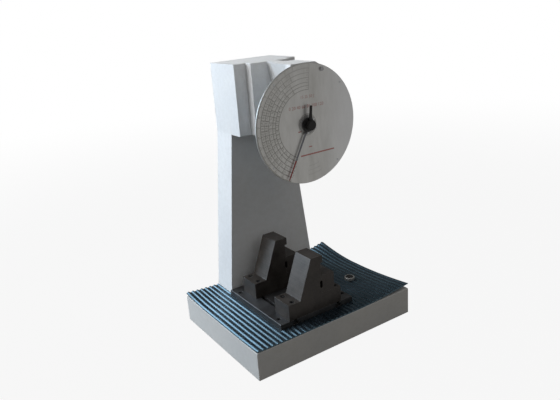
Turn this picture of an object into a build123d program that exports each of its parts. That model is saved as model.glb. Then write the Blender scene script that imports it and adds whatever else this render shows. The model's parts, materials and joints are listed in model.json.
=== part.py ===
"""Bench pendulum impact tester.

Millimetres. The origin is the centre of the base's underside, +Z up, +X to the right as one faces
the dial, and the dial looks to -Y. The main shaft runs along Y. Angles on the dial are counted
clockwise from straight up, as one faces it.
"""

import os
from math import cos, radians, sin, tan

from build123d import *

os.makedirs("parts", exist_ok=True)

# Base casting, open underneath
base_length = 500.0
base_depth = 386.0
base_height = 75.0
base_wall = 12.0
base_top_wall = 16.0
base_edge_radius = 2.0

# Column and head housing, open at the rear
housing_rear_margin = 4.0
column_foot_width = 291.0
column_depth = 77.0
column_height = 457.5
head_width = 189.0
head_height = 185.0
head_depth = 123.0
rib_width = 119.0
rib_depth = 25.0
housing_wall = 8.0
housing_edge_radius = 1.5
cover_thickness = 2.0
column_bolt_x = 105.0
column_bolt_edge = 17.0
cover_screw_rows = 3

# Swing geometry
pendulum_length = 380.0
specimen_thickness = 10.0
raise_angle = 160.0
swing_plane_y = -36.0
anvil_seat_rise = 111.0

# Dial arm
arm_front_y = -100.0
arm_plate_thickness = 20.0
arm_rear_y = -13.0
arm_boss_radius = 62.0
arm_arch_clearance = 4.0
arm_screw_drop = 14.0
arm_screw_pitch = 14.0
neck_half_width = 12.5
neck_lean = 11.2
neck_height = 52.0

# Main shaft and its two roller bearings
shaft_radius = 10.0
journal_radius = 7.5
spindle_radius = 5.0
shaft_tip_radius = 4.0
shaft_tail = 4.0
journal_end_run = 0.5
clip_thickness = 1.1
clip_rim = 2.0
clip_slot = 4.0
groove_depth = 0.6
bearing_outer_radius = 17.5
bearing_width = 11.0
roller_radius = 2.5
roller_length = 7.0
roller_pitch_radius = 12.5
roller_count = 8
cap_radius = 28.0
cap_plate = 4.0
cap_spigot = 3.0
cap_spigot_wall = 2.0
cap_screw_radius = 23.0
bearing_boss_radius = 30.0
bearing_boss_depth = 24.0
bearing_boss_bore = 12.0

# Pendulum carrier
carrier_radius = 22.0
carrier_width = 34.0
carrier_boss_radius = 16.0
carrier_reach = 60.0
socket_radius = 6.0
socket_depth = 35.0
key_width = 6.0
key_height = 5.9
key_length = 24.0
key_depth = 3.5
rod_screw_rise = 14.0
set_screw_length = 10.0
rod_side_clearance = 0.5

# Dial
dial_radius = 147.0
dial_backing_thickness = 3.0
dial_face_thickness = 0.8
dial_face_inset = 1.0
dial_rivet_radius = 138.0
dial_rivet_angle = -40.0
dial_rivet_count = 4
rivet_head_ratio = 1.8
rivet_head_height = 1.0
rivet_head_taper = 25
bush_flange_radius = 24.0
bush_flange_thickness = 1.5
bush_sleeve_radius = 8.0
bush_sleeve_length = 7.2
bush_body_radius = 12.0
bush_body_depth = 4.0
bush_screw_head = 0.9
washer_thickness = 0.6
ring_thickness = 0.9
ring_gap = 0.1
ring_rim = 2.5
ring_slot = 5.0

# Pointer, driver and front cap
pointer_angle = -152.0
pointer_length = 144.5
pointer_hub_radius = 17.0
pointer_hub_width = 5.0
pointer_collar_radius = 12.0
pointer_collar_height = 1.0
pointer_blade = 1.2
needle_root_half = 2.6
needle_tip_half = 1.4
needle_tip_length = 8.0
driver_angle = 6.0
driver_length = 47.0
driver_hub_radius = 12.0
driver_hub_width = 4.8
driver_root_half = 4.0
driver_tip_half = 2.8
driver_bar_thickness = 3.0
driver_gap = 0.7
driver_screw_turn = 120.0
driver_screw_head_length = 7.0
front_cap_radius = 12.0
front_cap_length = 6.8
front_cap_wall = 1.2
front_cap_chamfer = 1.5

# Release plunger
plunger_angle = 21.5
plunger_orbit = 137.0
plunger_radius = 2.5
plunger_collar_radius = 4.3
plunger_collar_length = 2.0
plunger_boss_radius = 8.5
plunger_bush_length = 3.0
spring_chamber_radius = 4.6
chamber_floor = 4.0
spring_inner_radius = 3.1
spring_outer_radius = 3.9
spring_end_gap = 0.4
release_knob_radius = 5.0
release_knob_length = 4.0
release_knob_bore = 2.6
knob_dial_gap = 0.3

# Anvil base plate
plate_length = 232.0
plate_left_x = -150.0
plate_rear_gap = 5.0
plate_thickness = 18.0
plate_screw_inset_left = 13.0
plate_screw_inset_right = 11.0
plate_screw_inset_front = 29.0
plate_screw_inset_rear = 34.0
slot_neck_width = 9.0
slot_neck_depth = 6.0
slot_width = 16.0
slot_height = 7.0
nut_height = 6.4

# Anvils
anvil_depth = 65.0
anvil_span = 95.0
anvil_left_x = -123.0
anvil_foot_height = 44.0
anvil_slope_foot_x = -86.5
anvil_slope_top_x = -47.0
anvil_top_height = 149.0
anvil_lip = 7.0
anvil_lip_height = 20.0
striker_offset = 7.6
rest_length = 41.3
anvil_right_x = 44.0
left_bolt_x = -105.0
right_bolt_x = 34.0
bolt_spacing = 40.0
relief_height = 21.0
relief_width = 8.0
relief_drop = 24.0
rest_screw_rise = 8.0

# Mat and bubble level
mat_thickness = 5.0
mat_gap = 1.0
level_x = 160.0
level_y = -47.0
level_radius = 15.0
level_height = 8.0
level_window_radius = 11.0
level_rim_depth = 5.0
level_glass_thickness = 1.8
level_glass_rise = 0.6
level_chamfer = 1.2
glass_chamfer = 0.5

# Screws by shank radius, and the shape of their heads as ratios to it
m3 = 1.5
m4 = 2.0
m6 = 3.0
m8 = 4.0
m10 = 5.0
socket_head_ratio = 1.6
socket_height_ratio = 2.0
key_ratio = 0.85
set_key_ratio = 0.55
key_depth_ratio = 0.6
counterbore_ratio = 1.75
pan_head_ratio = 1.8
pan_height_ratio = 0.8
hex_head_ratio = 1.7
hex_height_ratio = 1.28
set_head_ratio = 1.5
thread_ratio = 4.0

# Clearances between pieces, and the small edge chamfer
hole_clearance = 0.1
thread_end_gap = 1.0
head_sink = 1.0
fit_clearance = 0.02
running_clearance = 0.05
side_clearance = 0.3
edge_chamfer = 0.8

# Places that follow from the sizes above
housing_rear_y = base_depth / 2 - housing_rear_margin
column_front_y = housing_rear_y - column_depth
head_bottom_z = base_height + column_height
head_top_z = head_bottom_z + head_height
head_front_y = housing_rear_y - head_depth
rib_front_y = head_front_y - rib_depth
seat_z = base_height + anvil_seat_rise
axis_z = seat_z + specimen_thickness / 2 + pendulum_length
arm_lean = 180 - raise_angle
rod_clearance_radius = carrier_boss_radius + rod_side_clearance
arm_top_rise = head_top_z - axis_z
arm_arch_radius = carrier_reach + arm_arch_clearance
arm_plate_rear_y = arm_front_y + arm_plate_thickness
dial_back_y = arm_front_y
dial_face_back_y = dial_back_y - dial_backing_thickness
dial_front_y = dial_face_back_y - dial_face_thickness
bush_front_y = dial_front_y - bush_flange_thickness
pointer_rear_y = bush_front_y - washer_thickness - 2 * running_clearance
pointer_front_y = pointer_rear_y - pointer_hub_width
sleeve_front_y = bush_front_y - bush_sleeve_length
driver_rear_y = sleeve_front_y - driver_gap
driver_front_y = driver_rear_y - driver_hub_width
front_bearing_rear_y = arm_plate_rear_y - cap_spigot
front_bearing_front_y = front_bearing_rear_y - bearing_width
spindle_seat_y = front_bearing_front_y - journal_end_run
head_bearing_front_y = rib_front_y + cap_spigot
head_bearing_rear_y = head_bearing_front_y + bearing_width
plate_top_z = base_height + plate_thickness
plate_front_y = swing_plane_y - anvil_span / 2 - anvil_depth
plate_rear_y = column_front_y - plate_rear_gap
plate_depth = plate_rear_y - plate_front_y
foot_top_z = plate_top_z + anvil_foot_height
seat_face_x = -striker_offset - specimen_thickness


def facing(y):
    """Plane at depth y whose sketch reads as one faces the dial, with its origin at the base."""
    return Plane.XZ.offset(-y)


def on_axis(y, angle=0.0):
    """Plane at depth y on the shaft's axis, its up direction turned clockwise by the angle."""
    right = (cos(radians(angle)), 0, -sin(radians(angle)))
    return Plane(origin=(0, y, axis_z), x_dir=right, z_dir=(0, -1, 0))


def dial_point(radius, angle):
    """Place on an axis plane at a radius and a dial angle."""
    return (radius * sin(radians(angle)), radius * cos(radians(angle)))


def finish(piece, name):
    """Label a piece and write it under its node name."""
    piece.part.label = name
    export_step(piece.part, f"parts/{name}.step")


def column_half_width(z):
    """Half the column's width at a height, along its straight taper."""
    taper = (column_foot_width - head_width) / 2 / column_height
    return column_foot_width / 2 - (z - base_height) * taper


def housing_outline():
    """Outline of column and head as one faces the dial."""
    with BuildLine() as outline:
        Polyline(
            (-column_foot_width / 2, base_height),
            (column_foot_width / 2, base_height),
            (head_width / 2, head_bottom_z),
            (head_width / 2, head_top_z),
            (-head_width / 2, head_top_z),
            (-head_width / 2, head_bottom_z),
            close=True,
        )
    return outline.line


def thread_depth(radius):
    """How far a screw reaches into its threaded hole."""
    return radius * thread_ratio


def hole_depth(radius):
    """Depth of the threaded hole of a screw."""
    return thread_depth(radius) + thread_end_gap


def counterbore_depth(radius):
    """Depth that sinks a socket head below its surface."""
    return radius * socket_height_ratio + head_sink


def socket_screw(plane, radius, length, head_height=None):
    """Socket head screw: the head rises from the plane, the shank goes below it."""
    if head_height is None:
        head_height = radius * socket_height_ratio
    with BuildPart() as screw:
        with BuildSketch(plane):
            Circle(radius)
        extrude(amount=-length)
        with BuildSketch(plane):
            Circle(radius * socket_head_ratio)
        extrude(amount=head_height)
        with BuildSketch(plane.offset(head_height)):
            RegularPolygon(radius * key_ratio, 6)
        extrude(amount=-head_height * key_depth_ratio, mode=Mode.SUBTRACT)
    return screw.part


# Places of the fasteners that several pieces share
column_bolt_ys = (column_front_y + housing_wall + column_bolt_edge, housing_rear_y - column_bolt_edge)
column_bolt_places = [(x, y) for x in (-column_bolt_x, column_bolt_x) for y in column_bolt_ys]
plate_screw_xs = (
    plate_left_x + plate_screw_inset_left,
    plate_left_x + plate_length - plate_screw_inset_right,
)
plate_screw_ys = (plate_front_y + plate_screw_inset_front, plate_rear_y - plate_screw_inset_rear)
plate_screw_places = [(x, y) for x in plate_screw_xs for y in plate_screw_ys]
neck_bottom_z = head_top_z - neck_height
arm_screw_zs = (head_top_z - arm_screw_drop, head_top_z - arm_screw_drop - arm_screw_pitch)
cover_screw_pitch = column_height / cover_screw_rows
cap_screw_angles = (0.0, 120.0, 240.0)
bush_screw_orbit = bush_flange_radius - 2 * m3
bush_screw_angles = (60.0, 180.0, 300.0)


def cover_screw_places():
    """Screws of the rear cover, in the middle of the housing's walls."""
    middle = housing_wall / 2
    places = []
    for side in (-1, 1):
        for row in range(cover_screw_rows):
            z = base_height + (row + 0.5) * cover_screw_pitch
            places.append((side * (column_half_width(z) - middle), z))
        places.append((side * (head_width / 2 - middle), head_top_z - head_height / 4))
    places.append((0.0, head_top_z - middle))
    places.append((0.0, base_height + middle))
    return places


def make_base():
    """Base: a hollow casting with a flat top."""
    with BuildPart() as base:
        with BuildSketch(Plane.XY):
            Rectangle(base_length, base_depth)
        extrude(amount=base_height)
        fillet(base.edges().filter_by(Axis.Z), base_edge_radius)
        fillet(base.faces().sort_by(Axis.Z)[-1].edges(), base_edge_radius)
        with BuildSketch(Plane.XY):
            Rectangle(base_length - 2 * base_wall, base_depth - 2 * base_wall)
        extrude(amount=base_height - base_top_wall, mode=Mode.SUBTRACT)
        with BuildSketch(Plane.XY.offset(base_height)):
            with Locations(*column_bolt_places):
                Circle(m10 + hole_clearance)
            with Locations(*plate_screw_places):
                Circle(m8 + hole_clearance)
        extrude(amount=-base_top_wall, mode=Mode.SUBTRACT)
    finish(base, "base")


def make_housing():
    """Column and head in one hollow casting, open at the rear, with the rear bearing's boss."""
    front_walls = (
        (column_front_y, None),
        (head_front_y, head_width),
        (rib_front_y, rib_width),
    )
    with BuildPart() as housing:
        with BuildSketch(facing(housing_rear_y)):
            make_face(housing_outline())
        extrude(amount=column_depth)
        for front_y, width in front_walls[1:]:
            with BuildSketch(facing(housing_rear_y)):
                with Locations((0, head_bottom_z + head_height / 2)):
                    Rectangle(width, head_height)
            extrude(amount=housing_rear_y - front_y)
        outer = housing.edges().filter_by(GeomType.LINE)
        fillet(outer.filter_by_position(Axis.Y, rib_front_y, head_front_y + 1), housing_edge_radius)
        for front_y, width in front_walls:
            with BuildSketch(facing(housing_rear_y)):
                if width is None:
                    make_face(housing_outline())
                else:
                    with Locations((0, head_bottom_z + head_height / 2)):
                        Rectangle(width, head_height)
                offset(amount=-housing_wall, kind=Kind.INTERSECTION, mode=Mode.REPLACE)
            extrude(amount=housing_rear_y - front_y - housing_wall, mode=Mode.SUBTRACT)
        with BuildSketch(on_axis(rib_front_y + bearing_boss_depth)):
            Circle(bearing_boss_radius)
        extrude(amount=bearing_boss_depth - housing_wall / 2)
        with BuildSketch(on_axis(head_bearing_rear_y)):
            Circle(bearing_outer_radius)
        extrude(amount=head_bearing_rear_y - rib_front_y, mode=Mode.SUBTRACT)
        with BuildSketch(on_axis(rib_front_y + bearing_boss_depth)):
            Circle(bearing_boss_bore)
        extrude(amount=bearing_boss_depth, mode=Mode.SUBTRACT)
        with BuildSketch(on_axis(rib_front_y)):
            with Locations(*[dial_point(cap_screw_radius, a) for a in cap_screw_angles]):
                Circle(m4 + hole_clearance)
        extrude(amount=-hole_depth(m4), mode=Mode.SUBTRACT)
        with BuildSketch(facing(rib_front_y)):
            with Locations(*[(0, z) for z in arm_screw_zs]):
                Circle(m6 + hole_clearance)
        extrude(amount=-housing_wall, mode=Mode.SUBTRACT)
        with BuildSketch(Plane.XY.offset(base_height)):
            with Locations(*column_bolt_places):
                Circle(m10 + hole_clearance)
        extrude(amount=housing_wall, mode=Mode.SUBTRACT)
        with BuildSketch(facing(housing_rear_y)):
            with Locations(*cover_screw_places()):
                Circle(m4 + hole_clearance)
        extrude(amount=hole_depth(m4), mode=Mode.SUBTRACT)
    finish(housing, "column_housing")


def make_rear_cover():
    """Sheet cover over the open rear of the housing."""
    with BuildPart() as cover:
        with BuildSketch(facing(housing_rear_y + cover_thickness)):
            make_face(housing_outline())
            with Locations(*cover_screw_places()):
                Circle(m4 + hole_clearance, mode=Mode.SUBTRACT)
        extrude(amount=cover_thickness)
    finish(cover, "rear_cover")


def make_cover_screws():
    """Pan head screws of the rear cover."""
    with BuildPart() as screws:
        with BuildSketch(facing(housing_rear_y + cover_thickness)):
            with Locations(*cover_screw_places()):
                Circle(m4)
        extrude(amount=cover_thickness + thread_depth(m4))
        with BuildSketch(facing(housing_rear_y + cover_thickness + m4 * pan_height_ratio)):
            with Locations(*cover_screw_places()):
                Circle(m4 * pan_head_ratio)
        extrude(amount=m4 * pan_height_ratio)
    finish(screws, "cover_screws")


def make_column_bolts():
    """Hexagon bolts that hold the column's floor to the base, reached from the open rear."""
    floor_z = base_height + housing_wall
    with BuildPart() as bolts:
        with BuildSketch(Plane.XY.offset(floor_z)):
            with Locations(*column_bolt_places):
                Circle(m10)
        extrude(amount=-housing_wall - base_top_wall)
        with BuildSketch(Plane.XY.offset(floor_z)):
            with Locations(*column_bolt_places):
                RegularPolygon(m10 * hex_head_ratio, 6, major_radius=False)
        extrude(amount=m10 * hex_height_ratio)
    finish(bolts, "column_bolts")


def arm_keystone():
    """Arm section above the carrier: its sides run beside a rod raised to either end of the swing."""
    lean = radians(arm_lean)
    top_half = (arm_top_rise * sin(lean) - rod_clearance_radius) / cos(lean)
    bottom_rise = arm_arch_radius * 0.9
    bottom_half = top_half - (arm_top_rise - bottom_rise) * tan(lean)
    with BuildLine() as line:
        Polyline(
            (-top_half, arm_top_rise),
            (top_half, arm_top_rise),
            (bottom_half, bottom_rise),
            (-bottom_half, bottom_rise),
            close=True,
        )
    return line.line


def make_dial_arm():
    """Dial arm: bridge over the carrier, front plate with the front bearing, and neck to the head."""
    neck_bottom_half = neck_half_width - neck_height * tan(radians(neck_lean))
    with BuildPart() as arm:
        with BuildSketch(on_axis(arm_rear_y)):
            make_face(arm_keystone())
            Circle(arm_arch_radius, mode=Mode.SUBTRACT)
        extrude(amount=arm_rear_y - arm_front_y)
        with BuildSketch(on_axis(arm_plate_rear_y)):
            make_face(arm_keystone())
            Circle(arm_boss_radius)
            with Locations(dial_point(plunger_orbit, plunger_angle)):
                Circle(plunger_boss_radius)
            make_hull()
        extrude(amount=arm_plate_thickness)
        with BuildSketch(facing(rib_front_y)):
            with BuildLine():
                Polyline(
                    (-neck_half_width, head_top_z),
                    (neck_half_width, head_top_z),
                    (neck_bottom_half, neck_bottom_z),
                    (-neck_bottom_half, neck_bottom_z),
                    close=True,
                )
            make_face()
        extrude(amount=rib_front_y - arm_rear_y)
        with BuildSketch(on_axis(arm_plate_rear_y)):
            Circle(bearing_outer_radius)
        extrude(amount=arm_plate_rear_y - front_bearing_front_y, mode=Mode.SUBTRACT)
        with BuildSketch(on_axis(arm_plate_rear_y)):
            Circle(bush_body_radius)
        extrude(amount=arm_plate_thickness, mode=Mode.SUBTRACT)
        with BuildSketch(on_axis(arm_plate_rear_y)):
            with Locations(*[dial_point(cap_screw_radius, a) for a in cap_screw_angles]):
                Circle(m4 + hole_clearance)
        extrude(amount=hole_depth(m4), mode=Mode.SUBTRACT)
        with BuildSketch(on_axis(arm_front_y)):
            with Locations(*[dial_point(bush_screw_orbit, a) for a in bush_screw_angles]):
                Circle(m3 + hole_clearance)
        extrude(amount=-hole_depth(m3), mode=Mode.SUBTRACT)
        with BuildSketch(on_axis(arm_plate_rear_y)):
            with Locations(dial_point(plunger_orbit, plunger_angle)):
                Circle(spring_chamber_radius)
        extrude(amount=arm_plate_thickness - chamber_floor, mode=Mode.SUBTRACT)
        with BuildSketch(on_axis(arm_plate_rear_y)):
            with Locations(dial_point(plunger_orbit, plunger_angle)):
                Circle(plunger_radius + running_clearance)
        extrude(amount=arm_plate_thickness, mode=Mode.SUBTRACT)
        with BuildSketch(facing(rib_front_y)):
            with Locations(*[(0, z) for z in arm_screw_zs]):
                Circle(m6 + hole_clearance)
        extrude(amount=hole_depth(m6), mode=Mode.SUBTRACT)
    finish(arm, "dial_arm")


def make_arm_screws():
    """Socket screws from inside the head into the arm's neck."""
    wall_inside_y = rib_front_y + housing_wall
    with BuildPart() as screws:
        for z in arm_screw_zs:
            plane = Plane(origin=(0, wall_inside_y, z), x_dir=(-1, 0, 0), z_dir=(0, 1, 0))
            add(socket_screw(plane, m6, housing_wall + thread_depth(m6)))
    finish(screws, "arm_screws")


def bearing_planes():
    """Rear faces of the front bearing and of the head bearing."""
    return (on_axis(front_bearing_rear_y), on_axis(head_bearing_rear_y))


def make_bearings():
    """Two roller bearings: rings in the arm and the head, rollers between, rings on the shaft."""
    inner_ring_radius = roller_pitch_radius - roller_radius - running_clearance
    outer_ring_bore = roller_pitch_radius + roller_radius + running_clearance
    roller_end_gap = (bearing_width - roller_length) / 2
    with BuildPart() as outer_rings:
        for plane in bearing_planes():
            with BuildSketch(plane):
                Circle(bearing_outer_radius)
                Circle(outer_ring_bore, mode=Mode.SUBTRACT)
            extrude(amount=bearing_width)
    finish(outer_rings, "bearing_outer_rings")
    with BuildPart() as rollers:
        for plane in bearing_planes():
            with BuildSketch(plane.offset(roller_end_gap)):
                with PolarLocations(roller_pitch_radius, roller_count):
                    Circle(roller_radius)
            extrude(amount=roller_length)
    finish(rollers, "bearing_rollers")
    with BuildPart() as inner_rings:
        for plane in bearing_planes():
            with BuildSketch(plane):
                Circle(inner_ring_radius)
                Circle(journal_radius, mode=Mode.SUBTRACT)
            extrude(amount=bearing_width)
    finish(inner_rings, "bearing_inner_rings")


def make_bearing_cap(name, seat_y, outward):
    """Flanged cap that closes a bearing's seat. Outward is 1 to the front and -1 to the rear."""
    with BuildPart() as cap:
        with BuildSketch(on_axis(seat_y)):
            Circle(cap_radius)
        extrude(amount=outward * cap_plate)
        with BuildSketch(on_axis(seat_y)):
            Circle(bearing_outer_radius - running_clearance)
            Circle(bearing_outer_radius - cap_spigot_wall, mode=Mode.SUBTRACT)
        extrude(amount=-outward * cap_spigot)
        with BuildSketch(on_axis(seat_y)):
            Circle(shaft_radius + side_clearance)
            with Locations(*[dial_point(cap_screw_radius, a) for a in cap_screw_angles]):
                Circle(m4 + hole_clearance)
        extrude(amount=outward * cap_plate, mode=Mode.SUBTRACT)
    finish(cap, name)


def make_cap_screws():
    """Socket screws of both bearing caps."""
    with BuildPart() as screws:
        for seat_y, outward in ((arm_plate_rear_y, -1), (rib_front_y, 1)):
            for angle in cap_screw_angles:
                x, rise = dial_point(cap_screw_radius, angle)
                plane = Plane(
                    origin=(x, seat_y - outward * cap_plate, axis_z + rise),
                    x_dir=(outward, 0, 0),
                    z_dir=(0, -outward, 0),
                )
                add(socket_screw(plane, m4, cap_plate + thread_depth(m4)))
    finish(screws, "bearing_cap_screws")


def make_shaft():
    """Main shaft: carrier seat in the middle, a journal each side, the dial's spindle screwed into its end."""
    clip_front_y = head_bearing_rear_y + 2 * ring_gap
    slot = key_width + 2 * fit_clearance
    with BuildPart() as shaft:
        with BuildSketch(on_axis(head_bearing_front_y)):
            Circle(shaft_radius)
        extrude(amount=head_bearing_front_y - front_bearing_rear_y)
        with BuildSketch(on_axis(head_bearing_rear_y + shaft_tail)):
            Circle(journal_radius - fit_clearance)
        extrude(amount=head_bearing_rear_y + shaft_tail - head_bearing_front_y)
        with BuildSketch(on_axis(front_bearing_rear_y)):
            Circle(journal_radius - fit_clearance)
        extrude(amount=bearing_width + journal_end_run)
        with BuildSketch(on_axis(clip_front_y + clip_thickness + ring_gap)):
            Circle(journal_radius)
            Circle(journal_radius - groove_depth, mode=Mode.SUBTRACT)
        extrude(amount=clip_thickness + 2 * ring_gap, mode=Mode.SUBTRACT)
        with Locations((0, swing_plane_y, axis_z + shaft_radius)):
            Box(slot, key_length + 2 * fit_clearance, 2 * key_depth, mode=Mode.SUBTRACT)
        ends = shaft.edges().filter_by(GeomType.CIRCLE).sort_by(Axis.Y)
        chamfer([ends[0], ends[-1]], edge_chamfer)
        with BuildSketch(on_axis(spindle_seat_y)):
            Circle(m6 + hole_clearance)
        extrude(amount=-hole_depth(m6), mode=Mode.SUBTRACT)
    finish(shaft, "main_shaft")
    with BuildPart() as spindle:
        with BuildSketch(on_axis(spindle_seat_y)):
            Circle(spindle_radius)
        extrude(amount=spindle_seat_y - driver_front_y)
        with BuildSketch(on_axis(driver_front_y)):
            Circle(shaft_tip_radius)
        extrude(amount=front_cap_length - front_cap_wall - side_clearance)
        with BuildSketch(on_axis(spindle_seat_y)):
            Circle(m6)
        extrude(amount=-thread_depth(m6))
    finish(spindle, "dial_spindle")
    with BuildPart() as clip:
        with BuildSketch(on_axis(clip_front_y + clip_thickness)):
            Circle(journal_radius + clip_rim)
            Circle(journal_radius - groove_depth + ring_gap, mode=Mode.SUBTRACT)
            with Locations((0, -journal_radius)):
                Rectangle(clip_slot, 3 * clip_rim, mode=Mode.SUBTRACT)
        extrude(amount=clip_thickness)
    finish(clip, "shaft_circlip")


def make_carrier():
    """Pendulum carrier: hub keyed to the shaft, with a socket for the pendulum's rod."""
    rear_y = swing_plane_y + carrier_width / 2
    with BuildPart() as carrier:
        with BuildSketch(Plane((0, swing_plane_y, axis_z - carrier_reach))):
            Circle(carrier_boss_radius)
        extrude(amount=carrier_reach)
        chamfer(carrier.edges().sort_by(Axis.Z)[0], edge_chamfer)
        with BuildSketch(on_axis(rear_y)):
            Circle(carrier_radius)
        extrude(amount=carrier_width)
        with BuildSketch(on_axis(rear_y)):
            Circle(shaft_radius + fit_clearance)
        extrude(amount=carrier_width, mode=Mode.SUBTRACT)
        with Locations((0, swing_plane_y, axis_z + shaft_radius)):
            Box(key_width + 2 * fit_clearance, carrier_width, key_width, mode=Mode.SUBTRACT)
        with BuildSketch(Plane((0, swing_plane_y, axis_z - carrier_reach))):
            Circle(socket_radius)
        extrude(amount=socket_depth, mode=Mode.SUBTRACT)
        with BuildSketch(facing(swing_plane_y - carrier_boss_radius)):
            with Locations((0, axis_z - carrier_reach + rod_screw_rise)):
                Circle(m6 + hole_clearance)
        extrude(amount=-(carrier_boss_radius - socket_radius / 2), mode=Mode.SUBTRACT)
        with BuildSketch(Plane.YZ.offset(-carrier_radius)):
            with Locations((swing_plane_y, axis_z)):
                Circle(m6 + hole_clearance)
        extrude(amount=carrier_radius - shaft_radius / 2, mode=Mode.SUBTRACT)
    finish(carrier, "pendulum_carrier")
    key_middle_z = axis_z + shaft_radius - key_depth + running_clearance + key_height / 2
    with BuildPart() as key:
        with Locations((0, swing_plane_y, key_middle_z)):
            Box(key_width, key_length, key_height)
    finish(key, "carrier_key")
    with BuildPart() as grub:
        with BuildSketch(Plane.YZ.offset(-shaft_radius - running_clearance)):
            with Locations((swing_plane_y, axis_z)):
                Circle(m6)
        extrude(amount=-set_screw_length)
        with BuildSketch(Plane.YZ.offset(-shaft_radius - running_clearance - set_screw_length)):
            with Locations((swing_plane_y, axis_z)):
                RegularPolygon(m6 * set_key_ratio, 6)
        extrude(amount=set_screw_length * key_depth_ratio, mode=Mode.SUBTRACT)
    finish(grub, "carrier_set_screw")
    clamp_plane = Plane(
        origin=(0, swing_plane_y - carrier_boss_radius, axis_z - carrier_reach + rod_screw_rise),
        x_dir=(1, 0, 0),
        z_dir=(0, -1, 0),
    )
    with BuildPart() as clamp:
        add(socket_screw(clamp_plane, m6, carrier_boss_radius - socket_radius - side_clearance))
    finish(clamp, "rod_clamp_screw")


def make_dial():
    """Dial: a backing disc on the arm's front plate, a thin face on it, and the rim's rivets."""
    rivet_step = 360.0 / dial_rivet_count
    rivets = [
        dial_point(dial_rivet_radius, dial_rivet_angle + i * rivet_step) for i in range(dial_rivet_count)
    ]
    bush_holes = [dial_point(bush_screw_orbit, a) for a in bush_screw_angles]
    layers = (
        ("dial_backing", dial_back_y, dial_backing_thickness, dial_radius),
        ("dial_face", dial_face_back_y, dial_face_thickness, dial_radius - dial_face_inset),
    )
    for name, back_y, thickness, radius in layers:
        with BuildPart() as disc:
            with BuildSketch(on_axis(back_y)):
                Circle(radius)
                Circle(bush_body_radius, mode=Mode.SUBTRACT)
                with Locations(*rivets, *bush_holes):
                    Circle(m3 + hole_clearance, mode=Mode.SUBTRACT)
                with Locations(dial_point(plunger_orbit, plunger_angle)):
                    Circle(plunger_radius + side_clearance, mode=Mode.SUBTRACT)
            extrude(amount=thickness)
        finish(disc, name)
    with BuildPart() as pins:
        with BuildSketch(on_axis(dial_back_y)):
            with Locations(*rivets):
                Circle(m3)
        extrude(amount=dial_backing_thickness + dial_face_thickness)
        with BuildSketch(on_axis(dial_front_y)):
            with Locations(*rivets):
                Circle(m3 * rivet_head_ratio)
        extrude(amount=rivet_head_height, taper=rivet_head_taper)
    finish(pins, "dial_rivets")


def make_pointer_bush():
    """Flanged bush that clamps the dial's middle and carries the pointer round the spindle."""
    body_rear_y = arm_front_y + bush_body_depth
    with BuildPart() as bush:
        with BuildSketch(on_axis(dial_front_y)):
            Circle(bush_flange_radius)
            with Locations(*[dial_point(bush_screw_orbit, a) for a in bush_screw_angles]):
                Circle(m3 + hole_clearance, mode=Mode.SUBTRACT)
        extrude(amount=bush_flange_thickness)
        with BuildSketch(on_axis(body_rear_y)):
            Circle(bush_body_radius - running_clearance)
        extrude(amount=body_rear_y - dial_front_y)
        with BuildSketch(on_axis(bush_front_y)):
            Circle(bush_sleeve_radius)
        extrude(amount=bush_sleeve_length)
        with BuildSketch(on_axis(pointer_front_y - ring_gap)):
            Circle(bush_sleeve_radius)
            Circle(bush_sleeve_radius - groove_depth, mode=Mode.SUBTRACT)
        extrude(amount=ring_thickness + ring_gap, mode=Mode.SUBTRACT)
        with BuildSketch(on_axis(body_rear_y)):
            Circle(spindle_radius + side_clearance)
        extrude(amount=body_rear_y - sleeve_front_y, mode=Mode.SUBTRACT)
    finish(bush, "pointer_bush")
    screw_length = arm_front_y - bush_front_y + thread_depth(m3)
    with BuildPart() as screws:
        for angle in bush_screw_angles:
            x, rise = dial_point(bush_screw_orbit, angle)
            plane = Plane(origin=(x, bush_front_y, axis_z + rise), x_dir=(1, 0, 0), z_dir=(0, -1, 0))
            add(socket_screw(plane, m3, screw_length, bush_screw_head))
    finish(screws, "pointer_bush_screws")


def make_pointer():
    """Pointer: a long needle on a hub, held on the bush by a friction washer and a ring."""
    blade_y = pointer_rear_y - pointer_hub_width / 2
    with BuildPart() as pointer:
        with BuildSketch(on_axis(pointer_rear_y)):
            Circle(pointer_hub_radius)
        extrude(amount=pointer_hub_width - pointer_collar_height)
        with BuildSketch(on_axis(pointer_front_y + pointer_collar_height)):
            Circle(pointer_collar_radius)
        extrude(amount=pointer_collar_height)
        with BuildSketch(on_axis(blade_y, pointer_angle)):
            with BuildLine():
                Polyline(
                    (-needle_root_half, 0),
                    (needle_root_half, 0),
                    (needle_tip_half, pointer_length - needle_tip_length),
                    (0, pointer_length),
                    (-needle_tip_half, pointer_length - needle_tip_length),
                    close=True,
                )
            make_face()
        extrude(amount=pointer_blade)
        with BuildSketch(on_axis(pointer_rear_y)):
            Circle(bush_sleeve_radius + running_clearance)
        extrude(amount=pointer_hub_width, mode=Mode.SUBTRACT)
    finish(pointer, "pointer")
    with BuildPart() as washer:
        with BuildSketch(on_axis(bush_front_y - running_clearance)):
            Circle(pointer_collar_radius)
            Circle(bush_sleeve_radius + side_clearance, mode=Mode.SUBTRACT)
        extrude(amount=washer_thickness)
    finish(washer, "friction_washer")
    with BuildPart() as ring:
        with BuildSketch(on_axis(pointer_front_y - 1.5 * ring_gap)):
            Circle(bush_sleeve_radius + ring_rim)
            Circle(bush_sleeve_radius - groove_depth + ring_gap, mode=Mode.SUBTRACT)
            with Locations((0, -bush_sleeve_radius)):
                Rectangle(ring_slot, 3 * ring_rim, mode=Mode.SUBTRACT)
        extrude(amount=ring_thickness)
    finish(ring, "pointer_retaining_ring")


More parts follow.
